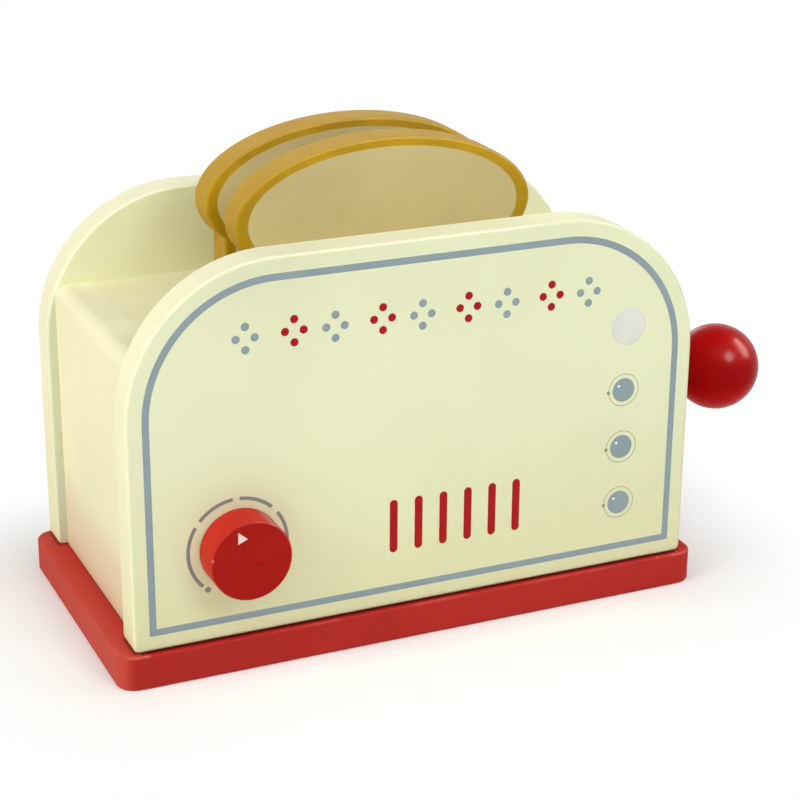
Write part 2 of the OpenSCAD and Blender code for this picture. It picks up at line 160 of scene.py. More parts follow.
class PaintColours(PropertyGroup):
    """Colours of the paints, inks and bare materials."""

    cream_panel: colour_setting("Front cream", "Cream paint of the front panel", 232, 236, 199)
    cream_board: colour_setting("Board cream", "Cream paint of the other boards", 240, 236, 200)
    rubbed_cream: colour_setting("Rubbed cream", "Cream paint that is rubbed thin", 226, 208, 172)
    red_board: colour_setting("Base red", "Red paint of the base board", 178, 47, 42)
    # This red also paints the light on the base board's ends
    rubbed_and_lit_red: colour_setting("Rubbed red", "Red paint that is rubbed thin", 214, 112, 92)
    red_dial: colour_setting("Dial red", "Satin red paint of the dial's face", 171, 26, 20)
    # The dial's side is painted lighter than its face: painted light
    lit_dial_side: colour_setting("Dial side", "Lighter red on the dial's turned side", 190, 46, 32)
    red_ball: colour_setting("Ball red", "Gloss red paint of the lever ball", 170, 7, 9)
    pointer: colour_setting("Pointer", "Printed pointer on the dial", 240, 222, 212)
    print_blue: colour_setting("Blue ink", "Ink of the line, dots and round prints", 146, 163, 170)
    print_red: colour_setting("Red ink", "Ink of the bars and dots", 172, 20, 27)
    print_grey: colour_setting("Grey ink", "Ink of the dial's scale", 140, 143, 138)
    print_olive: colour_setting("Olive ink", "Ink of the thin rings", 156, 161, 124)
    print_white: colour_setting("White ink", "Ink of the glints on the round prints", 240, 244, 240)
    sticker: colour_setting("Sticker", "Blank round sticker", 224, 227, 216)
    toast_face: colour_setting("Toast face", "Paint of a slice's crumb", 224, 206, 147)
    toast_ring: colour_setting("Toast ring", "Painted border of a slice's face", 198, 155, 15)
    toast_crust: colour_setting("Toast crust", "Paint of a slice's edge", 182, 147, 54)
    toast_burn: colour_setting("Toast patches", "Browner patches in the crust's paint", 178, 135, 48)
    wood: colour_setting("Bare wood", "Sanded beech of the rod, posts and lift", 222, 192, 146)
    wood_grain: colour_setting("Wood grain", "Darker flecks and lines of the grain", 190, 150, 102)
    steel: colour_setting("Steel", "Zinc-plated screws, washer and springs", 196, 198, 202)
    floor: colour_setting("Floor", "Pale studio floor", 244, 244, 244)


class PrintSizes(PropertyGroup):
    """Sizes and places of what is printed on the front panel."""

    ink: length_setting("Ink thickness", "How far the ink stands out of the paint", 0.05)
    line_width: length_setting("Line width", "Width of the frame line", 2.3)
    line_side: length_setting("Side margin", "From the panel's side to the frame line", 5.3)
    line_foot: length_setting("Lower margin", "From the panel's foot to the frame line", 5.3)
    line_top: length_setting("Upper margin", "From the panel's top to the frame line", 5.5)
    line_radius: length_setting("Corner radius", "Radius of the frame line's upper corners", 44)
    dot: length_setting("Dot diameter", "Diameter of each dot in a group", 2.7)
    dot_side: length_setting("Dot offset across", "From a group's middle to its side dots", 3.1)
    dot_up: length_setting("Dot offset up", "From a group's middle to its top and foot dots", 3.8)
    dot_pitch: length_setting("Group pitch", "Distance between groups of one colour", 30)
    bar_width: length_setting("Bar width", "Width of each red bar", 2.8)
    bar_pitch: length_setting("Bar pitch", "Distance between the red bars", 8.97)
    bars: IntProperty(name="Bars", description="Number of red bars", min=1, default=6)
    disc: length_setting("Disc diameter", "Diameter of the round prints' discs", 8.4)
    ring: length_setting("Ring diameter", "Outer diameter of the thin rings", 11.6)
    ring_line: length_setting("Ring line", "Width of the thin rings' line", 0.22)
    scale_radius: length_setting("Scale radius", "Radius of the arcs round the dial", 16.7)
    scale_line: length_setting("Scale line", "Width of the arcs round the dial", 1.2)
    scale_shift: length_setting("Scale shift", "From the dial's middle left to the arcs'", 0.5)
    sticker: length_setting("Sticker diameter", "Diameter of the blank sticker", 13)
    sticker_film: length_setting("Sticker film", "Thickness of the sticker's film", 0.12)


class StudioSettings(PropertyGroup):
    """Strengths of the sky and the lamps."""

    sky: FloatProperty(name="Sky", description="Strength of the even light", min=0, default=0.2)
    key_power: power_setting("Key", "Power of the right-hand softbox", 3.7)
    strip_power: power_setting("Strip", "Power of the tall side lamp", 4.2)
    left_power: power_setting("Left", "Power of the left-hand softbox", 17.5)
    top_power: power_setting("Top", "Power of the overhead softbox", 9.25)
    back_power: power_setting("Back", "Power of the softbox behind", 3.2)
    left_glint: power_setting("Left glint", "Power of the lamp seen in gloss at the left", 62)
    right_glint: power_setting("Right glint", "Power of the lamp seen in gloss at the right", 74)


# ---------------------------------------------------------------- shader nodes


class Value:
    """A number that comes out of a shader socket. Arithmetic on it adds Math nodes."""

    def __init__(self, tree, socket):
        self.tree = tree
        self.socket = socket

    def __add__(self, other):
        return self.tree.math("ADD", self, other)

    def __radd__(self, other):
        return self.tree.math("ADD", other, self)

    def __sub__(self, other):
        return self.tree.math("SUBTRACT", self, other)

    def __rsub__(self, other):
        return self.tree.math("SUBTRACT", other, self)

    def __mul__(self, other):
        return self.tree.math("MULTIPLY", self, other)

    def __rmul__(self, other):
        return self.tree.math("MULTIPLY", other, self)

    def __truediv__(self, other):
        return self.tree.math("DIVIDE", self, other)

    def __rtruediv__(self, other):
        return self.tree.math("DIVIDE", other, self)

    def __abs__(self):
        return self.tree.math("ABSOLUTE", self)

    def other(self, output):
        """Another output of the same node."""
        return Value(self.tree, self.socket.node.outputs[output])


class NodeTree:
    """Nodes of a material or the world, added in one way."""

    def __init__(self, owner):
        owner.use_nodes = True
        self.nodes = owner.node_tree.nodes
        self.links = owner.node_tree.links

    def add(self, kind, settings=None, sockets=None, output=0):
        """One node of any kind: its settings first, then the values or links of its sockets."""
        node = self.nodes.new(kind)
        for key, value in (settings or {}).items():
            setattr(node, key, value)
        for key, value in (sockets or {}).items():
            self.feed(node.inputs[key], value)
        return Value(self, node.outputs[output])

    def feed(self, socket, value):
        if isinstance(value, Value):
            self.links.new(value.socket, socket)
        elif socket.type == "RGBA":
            socket.default_value = (*value[:3], 1)
        else:
            socket.default_value = value

    def math(self, operation, *values):
        return self.add("ShaderNodeMath", {"operation": operation}, dict(enumerate(values)))

    def least(self, *values):
        return self.math("MINIMUM", *values)

    def most(self, *values):
        return self.math("MAXIMUM", *values)

    def ramp(self, value, low, high):
        """0 at low and 1 at high, with a smooth rise between them."""
        return self.add(
            "ShaderNodeMapRange",
            {"interpolation_type": "SMOOTHSTEP"},
            {"Value": value, "From Min": low, "From Max": high},
        )

    def mix(self, share, first, second):
        """The first colour, turning into the second as share goes from 0 to 1."""
        return self.add("ShaderNodeMix", {"data_type": "RGBA"}, {0: share, 6: first, 7: second}, 2)

    def axes(self, vector):
        """The x, y and z of a vector."""
        x = self.add("ShaderNodeSeparateXYZ", None, {0: vector})
        return x, x.other(1), x.other(2)

    def span(self, across, up):
        """The distance from nought of a place in a plane."""
        return self.math("SQRT", across * across + up * up)

    def join(self, share, first, second, end):
        """The first shader, turning into the second as share goes from 0 to 1, at the tree's end."""
        both = self.add("ShaderNodeMixShader", None, {0: share, 1: first, 2: second})
        self.feed(self.nodes[end].inputs["Surface"], both)


class Finish(NodeTree):
    """A procedural finish on the Principled shader."""

    def __init__(self, name, **fixed):
        self.material = bpy.data.materials.new(name)
        super().__init__(self.material)
        self.shader = self.nodes["Principled BSDF"]
        for key, value in fixed.items():
            socket = key.replace("_", " ").title().replace("Ior", "IOR")
            self.shader.inputs[socket].default_value = value
        self.place = self.add("ShaderNodeTexCoord", output="Object")
        self.facing = self.add("ShaderNodeTexCoord", output="Normal")

    def stretched(self, x, y, z, offset=(0, 0, 0)):
        """The place on the surface, scaled along each axis and shifted."""
        sockets = {"Vector": self.place, "Scale": (x, y, z), "Location": offset}
        return self.add("ShaderNodeMapping", None, sockets)

    def noise(self, scale, detail=2, vector=None, roughness=0.5, distortion=0):
        sockets = {
            "Vector": vector or self.place,
            "Scale": scale,
            "Detail": detail,
            "Roughness": roughness,
            "Distortion": distortion,
        }
        return self.add("ShaderNodeTexNoise", None, sockets)

    def specks(self, pitch, radius, share):
        """Small round specks in some of the cells of a loose grid."""
        cell = self.add("ShaderNodeTexVoronoi", None, {"Vector": self.place, "Scale": 1 / pitch})
        near = 1 - self.ramp(cell, 0.6 * radius / pitch, radius / pitch)
        return near * self.ramp(self.axes(cell.other("Color"))[0], 1 - share, 1 - 0.9 * share)

    def rounded_edge(self, axis):
        """1 halfway round the edge between the faces square to an axis and the rim, 0 on both."""
        across = abs(self.axes(self.facing)[axis])
        return 4 * across * across * (1 - across * across)

    def set(self, colour, roughness, height, depth, strength):
        """Feeds the shader and gives the finished material; depth is the bump's height in metres."""
        self.feed(self.shader.inputs["Base Color"], colour)
        self.feed(self.shader.inputs["Roughness"], roughness)
        sockets = {"Height": height, "Distance": depth, "Strength": strength}
        self.feed(self.shader.inputs["Normal"], self.add("ShaderNodeBump", None, sockets))
        return self.material


def paint_cad(node, material):
    """Gives a node of the frame its finish."""
    slots = frame["nodes"][node].data.materials
    slots.clear()
    slots.append(material)


# ---------------------------------------------------------------- finishes


def cream_finish(name, colour, rims, foot, rubbed, edge_axis, shift):
    """Sprayed satin paint on fibreboard: soft tone changes, a fine skin and thin paint on the edges.

    The faces square to the edge axis have the colour, and the rim between them goes from the first
    of the two rim colours at the left to the second at the right; on the panels both are painted
    light, lighter than the faces and lightest at the right. The foot is a tint of painted shade and
    bounce light from the red base, and the two heights in millimetres over the base board between
    which it fades out. Painted shade also darkens the panels' inner faces past the end boards, the
    edges at the right and a line along the foot, and a painted highlight lightens the edges at the
    left.
    """
    f = Finish(name, specular_ior_level=0.08)
    broad = f.noise(14, 2, f.stretched(1, 1, 1, (shift, 0, 0)))
    skin = f.noise(1500, 2)
    patches = f.noise(260, 3)
    edge = f.rounded_edge(edge_axis)
    wear = edge * f.ramp(patches + 0.25 * broad, 0.74, 0.9)
    dust = f.specks(21 * MM, 0.32 * MM, 0.16)
    flat = f.ramp(abs(f.axes(f.facing)[edge_axis]), 0.6, 0.95)
    x, y, z = f.axes(f.place)
    right = f.ramp(x, 15 * MM, 60 * MM)
    # On the panels the rim's two colours are painted light, lightest at the right
    rim = f.mix(right, *rims)
    foot_shade_tint, low, high = foot
    foot_shade_share = 1 - f.ramp(z, BASE_HIGH.z + low * MM, BASE_HIGH.z + high * MM)
    # A panel's inner face is painted darker past the end boards: painted shade beside them
    corner = f.ramp(abs(x), END_HIGH.x - 0.2 * MM, END_HIGH.x + 0.2 * MM)
    inward = 1 - f.ramp(y * f.axes(f.facing)[1], -0.03, -0.01)
    lighter = tinted(rims[0], 1.05, added=0.012)
    tone = f.mix(flat, rim, colour)
    tone = f.mix(0.07 * f.ramp(broad, 0.3, 0.7), tone, (0, 0, 0))
    # Painted shade and bounce light from the red base, fading out up from the foot
    tone = f.mix(foot_shade_share, tone, tinted(colour, *foot_shade_tint))
    # Painted shade on the panels' inner faces past the end boards
    tone = f.mix(corner * inward, tone, tinted(colour, 0.76, 0.8, 0.88))
    # Painted highlight along the edges at the left, and painted shade along them at the right
    tone = f.mix(0.3 * edge * (1 - right), tone, lighter)
    tone = f.mix(0.16 * edge * right, tone, (0, 0, 0))
    tone = f.mix(0.6 * wear, tone, rubbed)
    tone = f.mix(0.5 * dust, tone, tinted(rubbed, 0.45))
    # A dark line is painted where the board stands on the base: painted shade
    seam_shade = 1 - f.ramp(z, BASE_HIGH.z + 0.1 * MM, BASE_HIGH.z + 0.8 * MM)
    tone = f.mix(0.7 * seam_shade, tone, tinted(colour, 0.3, 0.1, 0.06))
    return f.set(
        tone,
        0.36 + 0.12 * f.noise(45, 3) + 0.1 * wear,
        skin + 0.6 * f.noise(420, 2) + 0.5 * dust - 0.8 * wear,
        0.02 * MM,
        0.55,
    )


def red_board_finish(colour, rubbed):
    """Brushed red paint: lighter where it is rubbed, with painted shade where the upper boards stand
    on it and on the lips along the panels, and painted light on its ends.
    """
    f = Finish("base_red_paint", specular_ior_level=0.02)
    broad = f.noise(11, 2)
    streaks = f.noise(1, 3, f.stretched(40, 40, 900), 0.6)
    skin = f.noise(1300, 2)
    edge = f.rounded_edge(2)
    chips = f.noise(520, 4, None, 0.65)
    rub = edge * f.ramp(f.noise(60, 4), 0.42, 0.72)
    nick = edge * f.ramp(chips, 0.66, 0.72)
    face_nick = f.specks(34 * MM, 0.45 * MM, 0.1)
    # Painted shade runs round both panels where they stand on the base, widest under their outer
    # faces, and along the end boards
    x, y, _ = f.axes(f.place)
    panel_middle = abs(PANEL_LOW.y + PANEL_HIGH.y) / 2
    half_board = (PANEL_HIGH.y - PANEL_LOW.y) / 2
    beside_panel = f.most(abs(x) - PANEL_HIGH.x, abs(abs(y) - panel_middle) - half_board)
    beside_end = f.most(abs(x) - END_HIGH.x, abs(y) - abs(PANEL_HIGH.y))
    before_panel = f.most(abs(x) - PANEL_HIGH.x + 3 * MM, abs(abs(y) - abs(PANEL_LOW.y)))
    joint_shade = 0.5 - 0.5 * f.ramp(f.least(beside_panel, beside_end), 0.1 * MM, 0.5 * MM)
    joint_shade = f.most(joint_shade, 1 - f.ramp(before_panel, 0.6 * MM, 1.5 * MM))
    # The faces towards the left, and the top at the left-hand end, are painted lighter: painted light
    # from the left.
    # The corners' rounded edges are lighter too, and the lips along the panels are painted deeper
    # red: painted shade beside the panels
    face_x, _, face_z = f.axes(f.facing)
    upward = f.ramp(face_z, 0.6, 0.95)
    past_end = f.ramp(abs(x), END_HIGH.x - 2 * MM, END_HIGH.x)
    lit_left_top = upward * f.ramp(0 - x, PANEL_HIGH.x - 6 * MM, BASE_HIGH.x)
    lit_end = f.most(f.ramp(0 - face_x, 0.2, 0.9), lit_left_top)
    lit_end = lit_end * (1 - 0.35 * f.ramp(y, -20 * MM, 45 * MM))
    lip_shade = f.ramp(face_z, 0.15, 0.6) * (1 - past_end)
    corner = edge * past_end * f.ramp(abs(y), BASE_HIGH.y - 2.5 * MM, BASE_HIGH.y - 1 * MM)
    tone = f.mix(f.ramp(broad, 0.32, 0.7), tinted(colour, 0.86), colour)
    tone = f.mix(0.18 * f.ramp(streaks, 0.4, 0.7), tone, tinted(colour, 1.18))
    # Painted light on the faces towards the left and on the top at the left-hand end
    tone = f.mix(0.95 * lit_end, tone, blend(colour, rubbed, 0.3))
    # Painted light on the top faces past the end boards
    tone = f.mix(0.14 * upward * past_end, tone, blend(tinted(colour, 2), rubbed, 0.2))
    # Painted shade on the lips along the panels, in deeper red
    tone = f.mix(0.8 * lip_shade, tone, tinted(colour, 0.9, 0.4, 0.45))
    tone = f.mix(0.06 * edge, tone, blend(colour, rubbed, 0.5))
    tone = f.mix(f.most(0.3 * rub, 0.5 * corner), tone, rubbed)
    tone = f.mix(f.most(0.7 * nick, 0.5 * face_nick), tone, tinted(rubbed, 1.5))
    # Painted shade where the upper boards stand on the base
    tone = f.mix(0.8 * joint_shade, tone, tinted(colour, 0.1))
    return f.set(
        tone,
        0.4 + 0.16 * f.noise(70, 3) + 0.12 * rub,
        skin + 0.4 * streaks - 1.2 * nick - 0.8 * face_nick,
        0.025 * MM,
        0.5,
    )


def dial_finish(colour, lit_side_colour, pointer):
    """Satin red dial with its printed pointer, a fine scratch, a turned side painted a lighter red as
    painted light, and a painted sheen on that side.
    """
    f = Finish("dial_red_paint", specular_ior_level=0.04)
    x, y, z = f.axes(f.place)
    across, up = (x - DIAL_X) / MM, (z - DIAL_Z) / MM
    front = 1 - f.ramp(y, DIAL_LOW.y + 0.1 * MM, DIAL_LOW.y + 0.25 * MM)
    # Places on the dial in millimetres from its middle, across and up
    corners = [(-4.5, 10.6), (-4.65, 6.55), (-1.4, 8.0)]
    start, end = (0.3, -0.6), (6.4, -2.4)
    chip_across, chip_up = -13, 2.3
    sheen_across, sheen_up = 7.4, 11.2
    # The pointer is a triangle, so it is where all three sides have it on their inner side
    inside = None
    for (x0, z0), (x1, z1) in zip(corners, corners[1:] + corners[:1]):
        side = ((up - z0) * (x1 - x0) - (across - x0) * (z1 - z0)) / math.dist((x0, z0), (x1, z1))
        within = f.ramp(side, -0.08, 0.08)
        inside = within if inside is None else f.least(inside, within)
    mark = inside * front
    # A scratch runs from near the middle towards the right
    run = math.dist(start, end)
    towards = ((end[0] - start[0]) / run, (end[1] - start[1]) / run)
    along = (across - start[0]) * towards[0] + (up - start[1]) * towards[1]
    aside = (up - start[1]) * towards[0] - (across - start[0]) * towards[1]
    scratch = front * f.ramp(along, 0, 1.5) * (1 - f.ramp(along, run - 1.5, run))
    scratch = scratch * (1 - f.ramp(abs(aside + 0.4 * f.noise(300, 2)), 0.1, 0.42))
    edge = f.rounded_edge(1)
    # Paint is thin along the edge and chipped off in one place at its left
    chip = edge * (1 - f.ramp(f.span(across - chip_across, up - chip_up), 0.2, 0.7))
    rub = f.most(0.6 * chip, 0.1 * edge * f.ramp(f.noise(330, 3), 0.5, 0.7))
    # A lighter patch is painted on the side, up at the right: a painted sheen
    patch = f.span(across - sheen_across, up - sheen_up) + 2 * f.noise(260, 3)
    patch = (1 - front) * (1 - f.ramp(patch, 1.2, 3.6))
    broad = f.noise(70, 2)
    # The side is painted lighter than the face: painted light
    tone = f.mix(front, lit_side_colour, colour)
    tone = f.mix(0.1 * f.ramp(broad, 0.3, 0.7), tone, (0, 0, 0))
    tone = f.mix(0.5 * scratch, tone, tinted(colour, 0.45))
    # Painted sheen on the side, up at the right
    tone = f.mix(0.3 * patch, tone, tinted(pointer, 0.5))
    tone = f.mix(0.5 * rub, tone, pointer)
    tone = f.mix(0.92 * mark, tone, pointer)
    return f.set(
        tone,
        0.34 + 0.12 * f.noise(160, 3) + 0.2 * scratch,
        f.noise(1400, 2) + 0.8 * mark - 1.5 * scratch - 0.6 * rub,
        0.02 * MM,
        0.5,
    )


def ball_finish(colour):
    """Gloss red lacquer on a turned ball, with faint dips, dust grains, more sheen at a slant, and
    painted light above and below its middle.
    """
    f = Finish("ball_red_gloss", specular_ior_level=0.02, coat_roughness=0.11)
    slant = f.add("ShaderNodeLayerWeight", None, {"Blend": 0.5}, "Facing")
    f.feed(f.shader.inputs["Coat Weight"], 0.04 + 0.48 * f.ramp(slant, 0.3, 0.95))
    broad = f.noise(45, 2)
    dips = f.noise(120, 2)
    dust = f.specks(9 * MM, 0.22 * MM, 0.14)
    tone = f.mix(f.ramp(broad, 0.3, 0.7), tinted(colour, 0.82), tinted(colour, 0.94))
    # The ball is painted lighter above and below its middle: painted light from above and from the
    # floor below
    above = f.axes(f.place)[2] - BALL_Z
    tone = f.mix(f.ramp(above, 3 * MM, 14 * MM), tone, tinted(colour, 1.2))
    tone = f.mix(f.ramp(0 - above, 1 * MM, 11 * MM), tone, tinted(colour, 1.4, added=0.003))
    tone = f.mix(0.3 * dust, tone, tinted(colour, 2.2, added=0.03))
    return f.set(tone, 0.3 + 0.1 * f.noise(200, 3), dips + 0.3 * dust, 0.12 * MM, 0.35)


def toast_finish(name, shift):
    """Painted slice: tan crumb inside an ochre border, and a golden crust with browner patches."""
    colours = bpy.context.scene.toaster_paint
    f = Finish(name, specular_ior_level=0.08)
    x, _, z = f.axes(f.place)
    # A slice is a stem with an oval crown on it, which rises this far over its widest place
    crown, half_stem, border = 25 * MM, 46 * MM, 4.1 * MM
    half_width = (SLICE_HIGH.x - SLICE_LOW.x) / 2
    crown_z = SLICE_HIGH.z - crown
    wobble = f.noise(130, 2, f.stretched(1, 1, 1, (shift, 0, 0))) - 0.5
    # The border was masked by hand, a little wider at the right
    across = (x + 0.3 * MM) / (half_width - border - 0.4 * MM)
    up = (z - crown_z) / (crown - border + 0.9 * MM)
    in_crown = 1 - f.ramp(f.span(across, up) + 0.012 * wobble, 0.994, 1.006)
    side, foot, blur = half_stem - border, SLICE_LOW.z + border, 0.2 * MM
    in_stem = (1 - f.ramp(abs(x), side - blur, side + blur)) * f.ramp(z, foot - blur, foot + blur)
    in_stem = in_stem * (1 - f.ramp(z, crown_z, crown_z + 1 * MM))
    crumb = f.most(in_crown, in_stem)
    face = f.ramp(abs(f.axes(f.facing)[1]) + 0.3 * wobble, 0.8, 0.93)
    broad = f.noise(22, 3, f.stretched(1, 1, 1, (0, 0, shift)))
    patch = f.noise(55, 4, f.stretched(1, 1, 1, (shift, shift, 0)), 0.6)
    crumb_tone = f.mix(f.ramp(broad, 0.3, 0.72), tinted(colours.toast_face, 0.9), colours.toast_face)
    # The crumb is painted darker towards its top: painted light that evens out the front panel's
    # shade on its lower part
    painted_light_rise = f.ramp(z, PANEL_HIGH.z, SLICE_HIGH.z - 10 * MM)
    crumb_tone = f.mix(0.16 * painted_light_rise, crumb_tone, (0, 0, 0))
    cloud = f.ramp(f.noise(90, 3), 0.35, 0.7)
    ring_tone = f.mix(cloud, tinted(colours.toast_ring, 0.82), colours.toast_ring)
    crust_tone = f.mix(f.ramp(patch, 0.45, 0.72), colours.toast_crust, colours.toast_burn)
    # A paler line, broken by noise, is painted along the slice's rounded edge: a painted highlight
    edge = f.rounded_edge(1)
    painted_edge_line = f.ramp(edge, 0.5, 0.85) * (0.45 + 0.55 * f.ramp(f.noise(700, 3), 0.42, 0.62))
    upward = f.ramp(f.axes(f.facing)[2], 0.5, 1)
    # The crust's upward faces are painted lighter: painted light from above
    crust_tone = f.mix(0.24 * upward, crust_tone, tinted(colours.toast_crust, 1.25, added=0.05))
    tone = f.mix(face, crust_tone, f.mix(crumb, ring_tone, crumb_tone))
    # Painted highlight along the rounded edge
    tone = f.mix(0.85 * painted_edge_line, tone, tinted(colours.toast_crust, 1.7, added=0.03))
    return f.set(
        tone,
        0.5 + 0.14 * f.noise(80, 3) - 0.12 * edge,
        f.noise(1100, 3) + 0.4 * patch + 0.25 * crumb,
        0.03 * MM,
        0.5,
    )


def wood_finish(name, along, shift=0.0):
    """Fine-sanded beech: pale wood with short darker flecks and soft lines along its length."""
    colours = bpy.context.scene.toaster_paint
    f = Finish(name, ior=1.46)
    fine = [1, 1, 1]
    fine[along] = 0.05
    lines = f.noise(420, 3, f.stretched(*fine, (shift, shift, shift)), 0.6, 0.3)
    short = [1, 1, 1]
    short[along] = 0.22
    flecks = f.noise(1500, 1, f.stretched(*short, (shift, 0, shift)))
    broad = f.noise(30, 2)
    tone = f.mix(f.ramp(lines, 0.36, 0.66), colours.wood, tinted(colours.wood, 0.8))
    dark = f.ramp(flecks, 0.6, 0.72)
    tone = f.mix(0.7 * dark, tone, colours.wood_grain)
    tone = f.mix(0.35 * f.ramp(broad, 0.4, 0.75), tone, colours.wood_grain)
    return f.set(tone, 0.52 + 0.14 * lines, lines - 0.7 * dark, 0.04 * MM, 0.5)


def steel_finish(name):
    """Zinc-plated steel with fine turning marks and duller patches."""
    colours = bpy.context.scene.toaster_paint
    f = Finish(name, metallic=1.0)
    marks = f.noise(2600, 2, f.stretched(1, 1, 0.15))
    dull = f.noise(260, 3)
    tone = f.mix(f.ramp(dull, 0.35, 0.7), colours.steel, tinted(colours.steel, 0.72))
    return f.set(tone, 0.26 + 0.22 * dull, marks, 0.01 * MM, 0.5)


def ink_finish(name, colour):
    """Screen ink: even, with soft clouds in its tone and the paint's fine skin under it."""
    f = Finish(name, specular_ior_level=0.08)
    cloud = f.noise(60, 2)
    tone = f.mix(f.ramp(cloud, 0.3, 0.7), tinted(colour, 0.92), colour)
    return f.set(tone, 0.36 + 0.12 * f.noise(90, 2), f.noise(1500, 2), 0.012 * MM, 0.5)


def sticker_finish(colour):
    """White film sticker, a little dirty along its rim."""
    f = Finish("sticker_film", ior=1.5)
    x, _, z = f.axes(f.place)
    centre_x, centre_z = on_panel(*STICKER_PLACE)
    rim = f.ramp(f.span(x - centre_x, z - centre_z), 5.6 * MM, 6.5 * MM)
    cloud = f.noise(220, 3)
    tone = f.mix(f.ramp(cloud, 0.35, 0.7), colour, tinted(colour, 0.95))
    tone = f.mix(0.5 * rim * cloud, tone, tinted(colour, 0.62))
    return f.set(tone, 0.26 + 0.12 * cloud, f.noise(500, 2), 0.01 * MM, 0.4)


# ---------------------------------------------------------------- meshes


def finish_mesh(name, mesh, material, body="root", smooth=False):
    """Closes a mesh into an object that rides on a body of the frame."""
    bmesh.ops.recalc_face_normals(mesh, faces=mesh.faces)
    data = bpy.data.meshes.new(name)
    mesh.to_mesh(data)
    mesh.free()
    for polygon in data.polygons:
        polygon.use_smooth = smooth
    data.materials.append(material)
    piece = bpy.data.objects.new(name, data)
    bpy.context.scene.collection.objects.link(piece)
    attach(piece, body)
    return piece


def ink_depths(context):
    """Where a print's front and its hidden back lie, on both sides of the panel's face."""
    ink = context.scene.toaster_prints.ink
    return PANEL_LOW.y - ink, PANEL_LOW.y + 2 * ink


def add_skin(mesh, rings):
    """Faces between rings of equally many points, with both ends closed."""
    rings = [[mesh.verts.new(point) for point in ring] for ring in rings]
    mesh.faces.new(rings[0])
    mesh.faces.new(rings[-1])
    for a, b in zip(rings, rings[1:]):
        for i in range(len(a)):
            j = (i + 1) % len(a)
            mesh.faces.new((a[i], a[j], b[j], b[i]))


def add_plate(mesh, outline, front, back):
    """A thin plate with one flat outline of (x, z) points."""
    add_skin(mesh, [[(x, depth, z) for x, z in outline] for depth in (front, back)])


def add_ribbon(mesh, outer, inner, front, back, closed=True):
    """A thin band between two outlines of equally many (x, z) points."""
    rings = [
        [mesh.verts.new((x, depth, z)) for x, z in outline]
        for outline, depth in ((outer, front), (inner, front), (inner, back), (outer, back))
    ]
    count = len(outer)
    for i in range(count if closed else count - 1):
        j = (i + 1) % count
        for a, b in zip(rings, rings[1:] + rings[:1]):
            mesh.faces.new((a[i], a[j], b[j], b[i]))
    if not closed:
        for end in (0, -1):
            mesh.faces.new([ring[end] for ring in rings])


def around(x, z, radius, angle):
    """The point of a circle at an angle in degrees from +X towards +Z."""
    angle = math.radians(angle)
    return x + radius * math.cos(angle), z + radius * math.sin(angle)


def arc(x, z, radius, start, end, steps):
    """Points along an arc, from its start to its end."""
    return [around(x, z, radius, start + (end - start) * i / steps) for i in range(steps + 1)]


def circle(x, z, radius, steps=48):
    return arc(x, z, radius, 0, 360, steps)[:-1]


def spring_rings(low, high, wire_radius=0.6 * MM, turns=6, sides=10, steps=28):
    """Rings of points along the wire of an upright spring that fills a box.

    The first and last turns lie almost flat, as on a ground spring.
    """
    middle = (low + high) / 2
    radius = (high.x - low.x) / 2 - wire_radius
    travel = high.z - low.z - 2 * wire_radius
    flat_turns, flat_pitch = 0.75, 2.1 * wire_radius
    up = Vector((0, 0, 1))
    rings = []
    for i in range(turns * steps + 1):
        turn = i / steps
        share = min(max((turn - flat_turns) / (turns - 2 * flat_turns), 0), 1)
        closed = min(turn, flat_turns) + max(turn - turns + flat_turns, 0)
        rise = flat_pitch * closed + (travel - 2 * flat_turns * flat_pitch) * share
        outward = Vector((math.cos(2 * math.pi * turn), math.sin(2 * math.pi * turn), 0))
        centre = Vector((middle.x, middle.y, low.z + wire_radius + rise)) + radius * outward
        section = circle(0, 0, wire_radius, sides)
        rings.append([centre + across * outward + above * up for across, above in section])
    return rings


def frame_outline(prints, inset):
    """The frame line's outline, square at the foot and round at the top, drawn in by an inset."""
    side = PANEL_HIGH.x - prints.line_side - inset
    foot = PANEL_LOW.z + prints.line_foot + inset
    radius = prints.line_radius - inset
    top = PANEL_HIGH.z - prints.line_top - inset - radius
    return (
        [(-side, foot), (side, foot)]
        + arc(side - radius, top, radius, 0, 90, 40)
        + arc(-side + radius, top, radius, 90, 180, 40)
    )


# ---------------------------------------------------------------- operators


